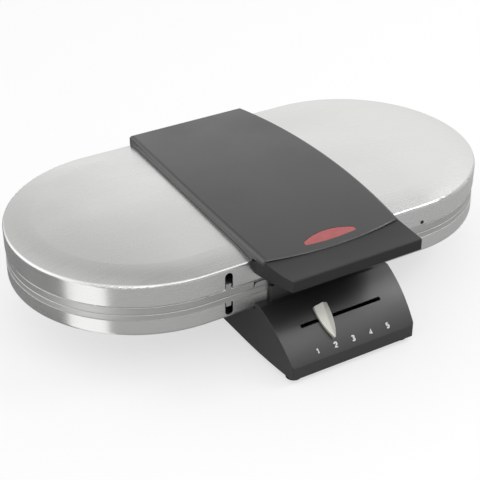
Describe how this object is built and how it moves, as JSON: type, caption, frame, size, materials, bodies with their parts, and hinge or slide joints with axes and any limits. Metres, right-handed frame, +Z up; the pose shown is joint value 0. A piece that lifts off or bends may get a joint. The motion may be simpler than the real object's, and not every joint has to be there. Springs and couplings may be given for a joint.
{
  "type": "double waffle maker",
  "caption": "Countertop waffle maker that bakes round waffles side by side: steel shells, hinged lid with front handle, stand with sloping panel and slide control.",
  "frame": {"origin": "on the worktop, under the centre of the overall box", "axes": "+X along the two waffles to the right, -Y to the front where the handle is, +Z up"},
  "size_m": [0.417, 0.2786, 0.1008],
  "materials": {
    "steel_shell": "softly brushed stainless steel",
    "cast_plate": "matt coated cast aluminium",
    "dark_plastic": "fine grained charcoal moulding",
    "black_plastic": "plain black moulding",
    "silver_knob": "satin champagne silver paint",
    "red_lens": "translucent red, smooth",
    "lamp_glass": "clear glass tube",
    "rubber": "matt black rubber",
    "screw_steel": "bright zinc-plated steel",
    "hinge_steel": "black painted steel",
    "sheet_metal": "plain rolled sheet",
    "heater_sheath": "heat-darkened steel tube",
    "white_plastic": "off-white heat-proof moulding"
  },
  "bodies": {
    "base": {"stand_housing": "dark_plastic", "stand_floor": "dark_plastic", "rubber_feet": "rubber", "floor_screws": "screw_steel", "stand_screws": "screw_steel", "lower_shell": "steel_shell", "lower_plate_left": "cast_plate", "lower_plate_right": "cast_plate", "lower_heater_left": "heater_sheath", "lower_heater_right": "heater_sheath", "lower_heater_clips": "sheet_metal", "slider_rail": "screw_steel", "thermostat_body": "white_plastic", "thermostat_bracket": "sheet_metal", "terminal_block": "white_plastic", "block_screws": "screw_steel", "cord_gland": "black_plastic", "hinge_bracket": "hinge_steel", "bracket_screws": "screw_steel", "hinge_pin": "screw_steel", "pin_clip": "screw_steel"},
    "lid": {"upper_shell": "steel_shell", "shell_rivet": "black_plastic", "upper_plate_left": "cast_plate", "upper_plate_right": "cast_plate", "upper_heater_left": "heater_sheath", "upper_heater_right": "heater_sheath", "upper_heater_clips": "sheet_metal", "heat_shield": "sheet_metal", "shell_screws": "screw_steel", "hinge_arm": "hinge_steel", "hinge_backing": "hinge_steel", "arm_screws": "screw_steel", "bridge_cover": "dark_plastic", "cover_screws": "screw_steel", "handle_grip": "dark_plastic", "handle_screws": "screw_steel", "indicator_lens": "red_lens", "lamp_holder": "black_plastic", "indicator_lamps": "lamp_glass"},
    "slider": {"slider_carriage": "black_plastic", "slider_knob": "silver_knob"},
    "adjuster": {"adjuster_bar": "black_plastic"}
  },
  "joints": [
    {"name": "lid_hinge", "type": "hinge", "parent": "base", "child": "lid", "pos_m": [0, 0.13335, 0.0606], "axis": [-1, 0, 0], "range_deg": [0, 100]},
    {"name": "control_slide", "type": "slide", "parent": "base", "child": "slider", "axis": [1, 0, 0], "range_m": [-0.0162, 0.0486]},
    {"name": "adjuster_slide", "type": "slide", "parent": "base", "child": "adjuster", "axis": [0, 1, 0], "range_m": [-0.001, 0.003]}
  ],
  "couplings": [
    {"joint": "adjuster_slide", "follows": "control_slide", "ratio": 0.06}
  ]
}
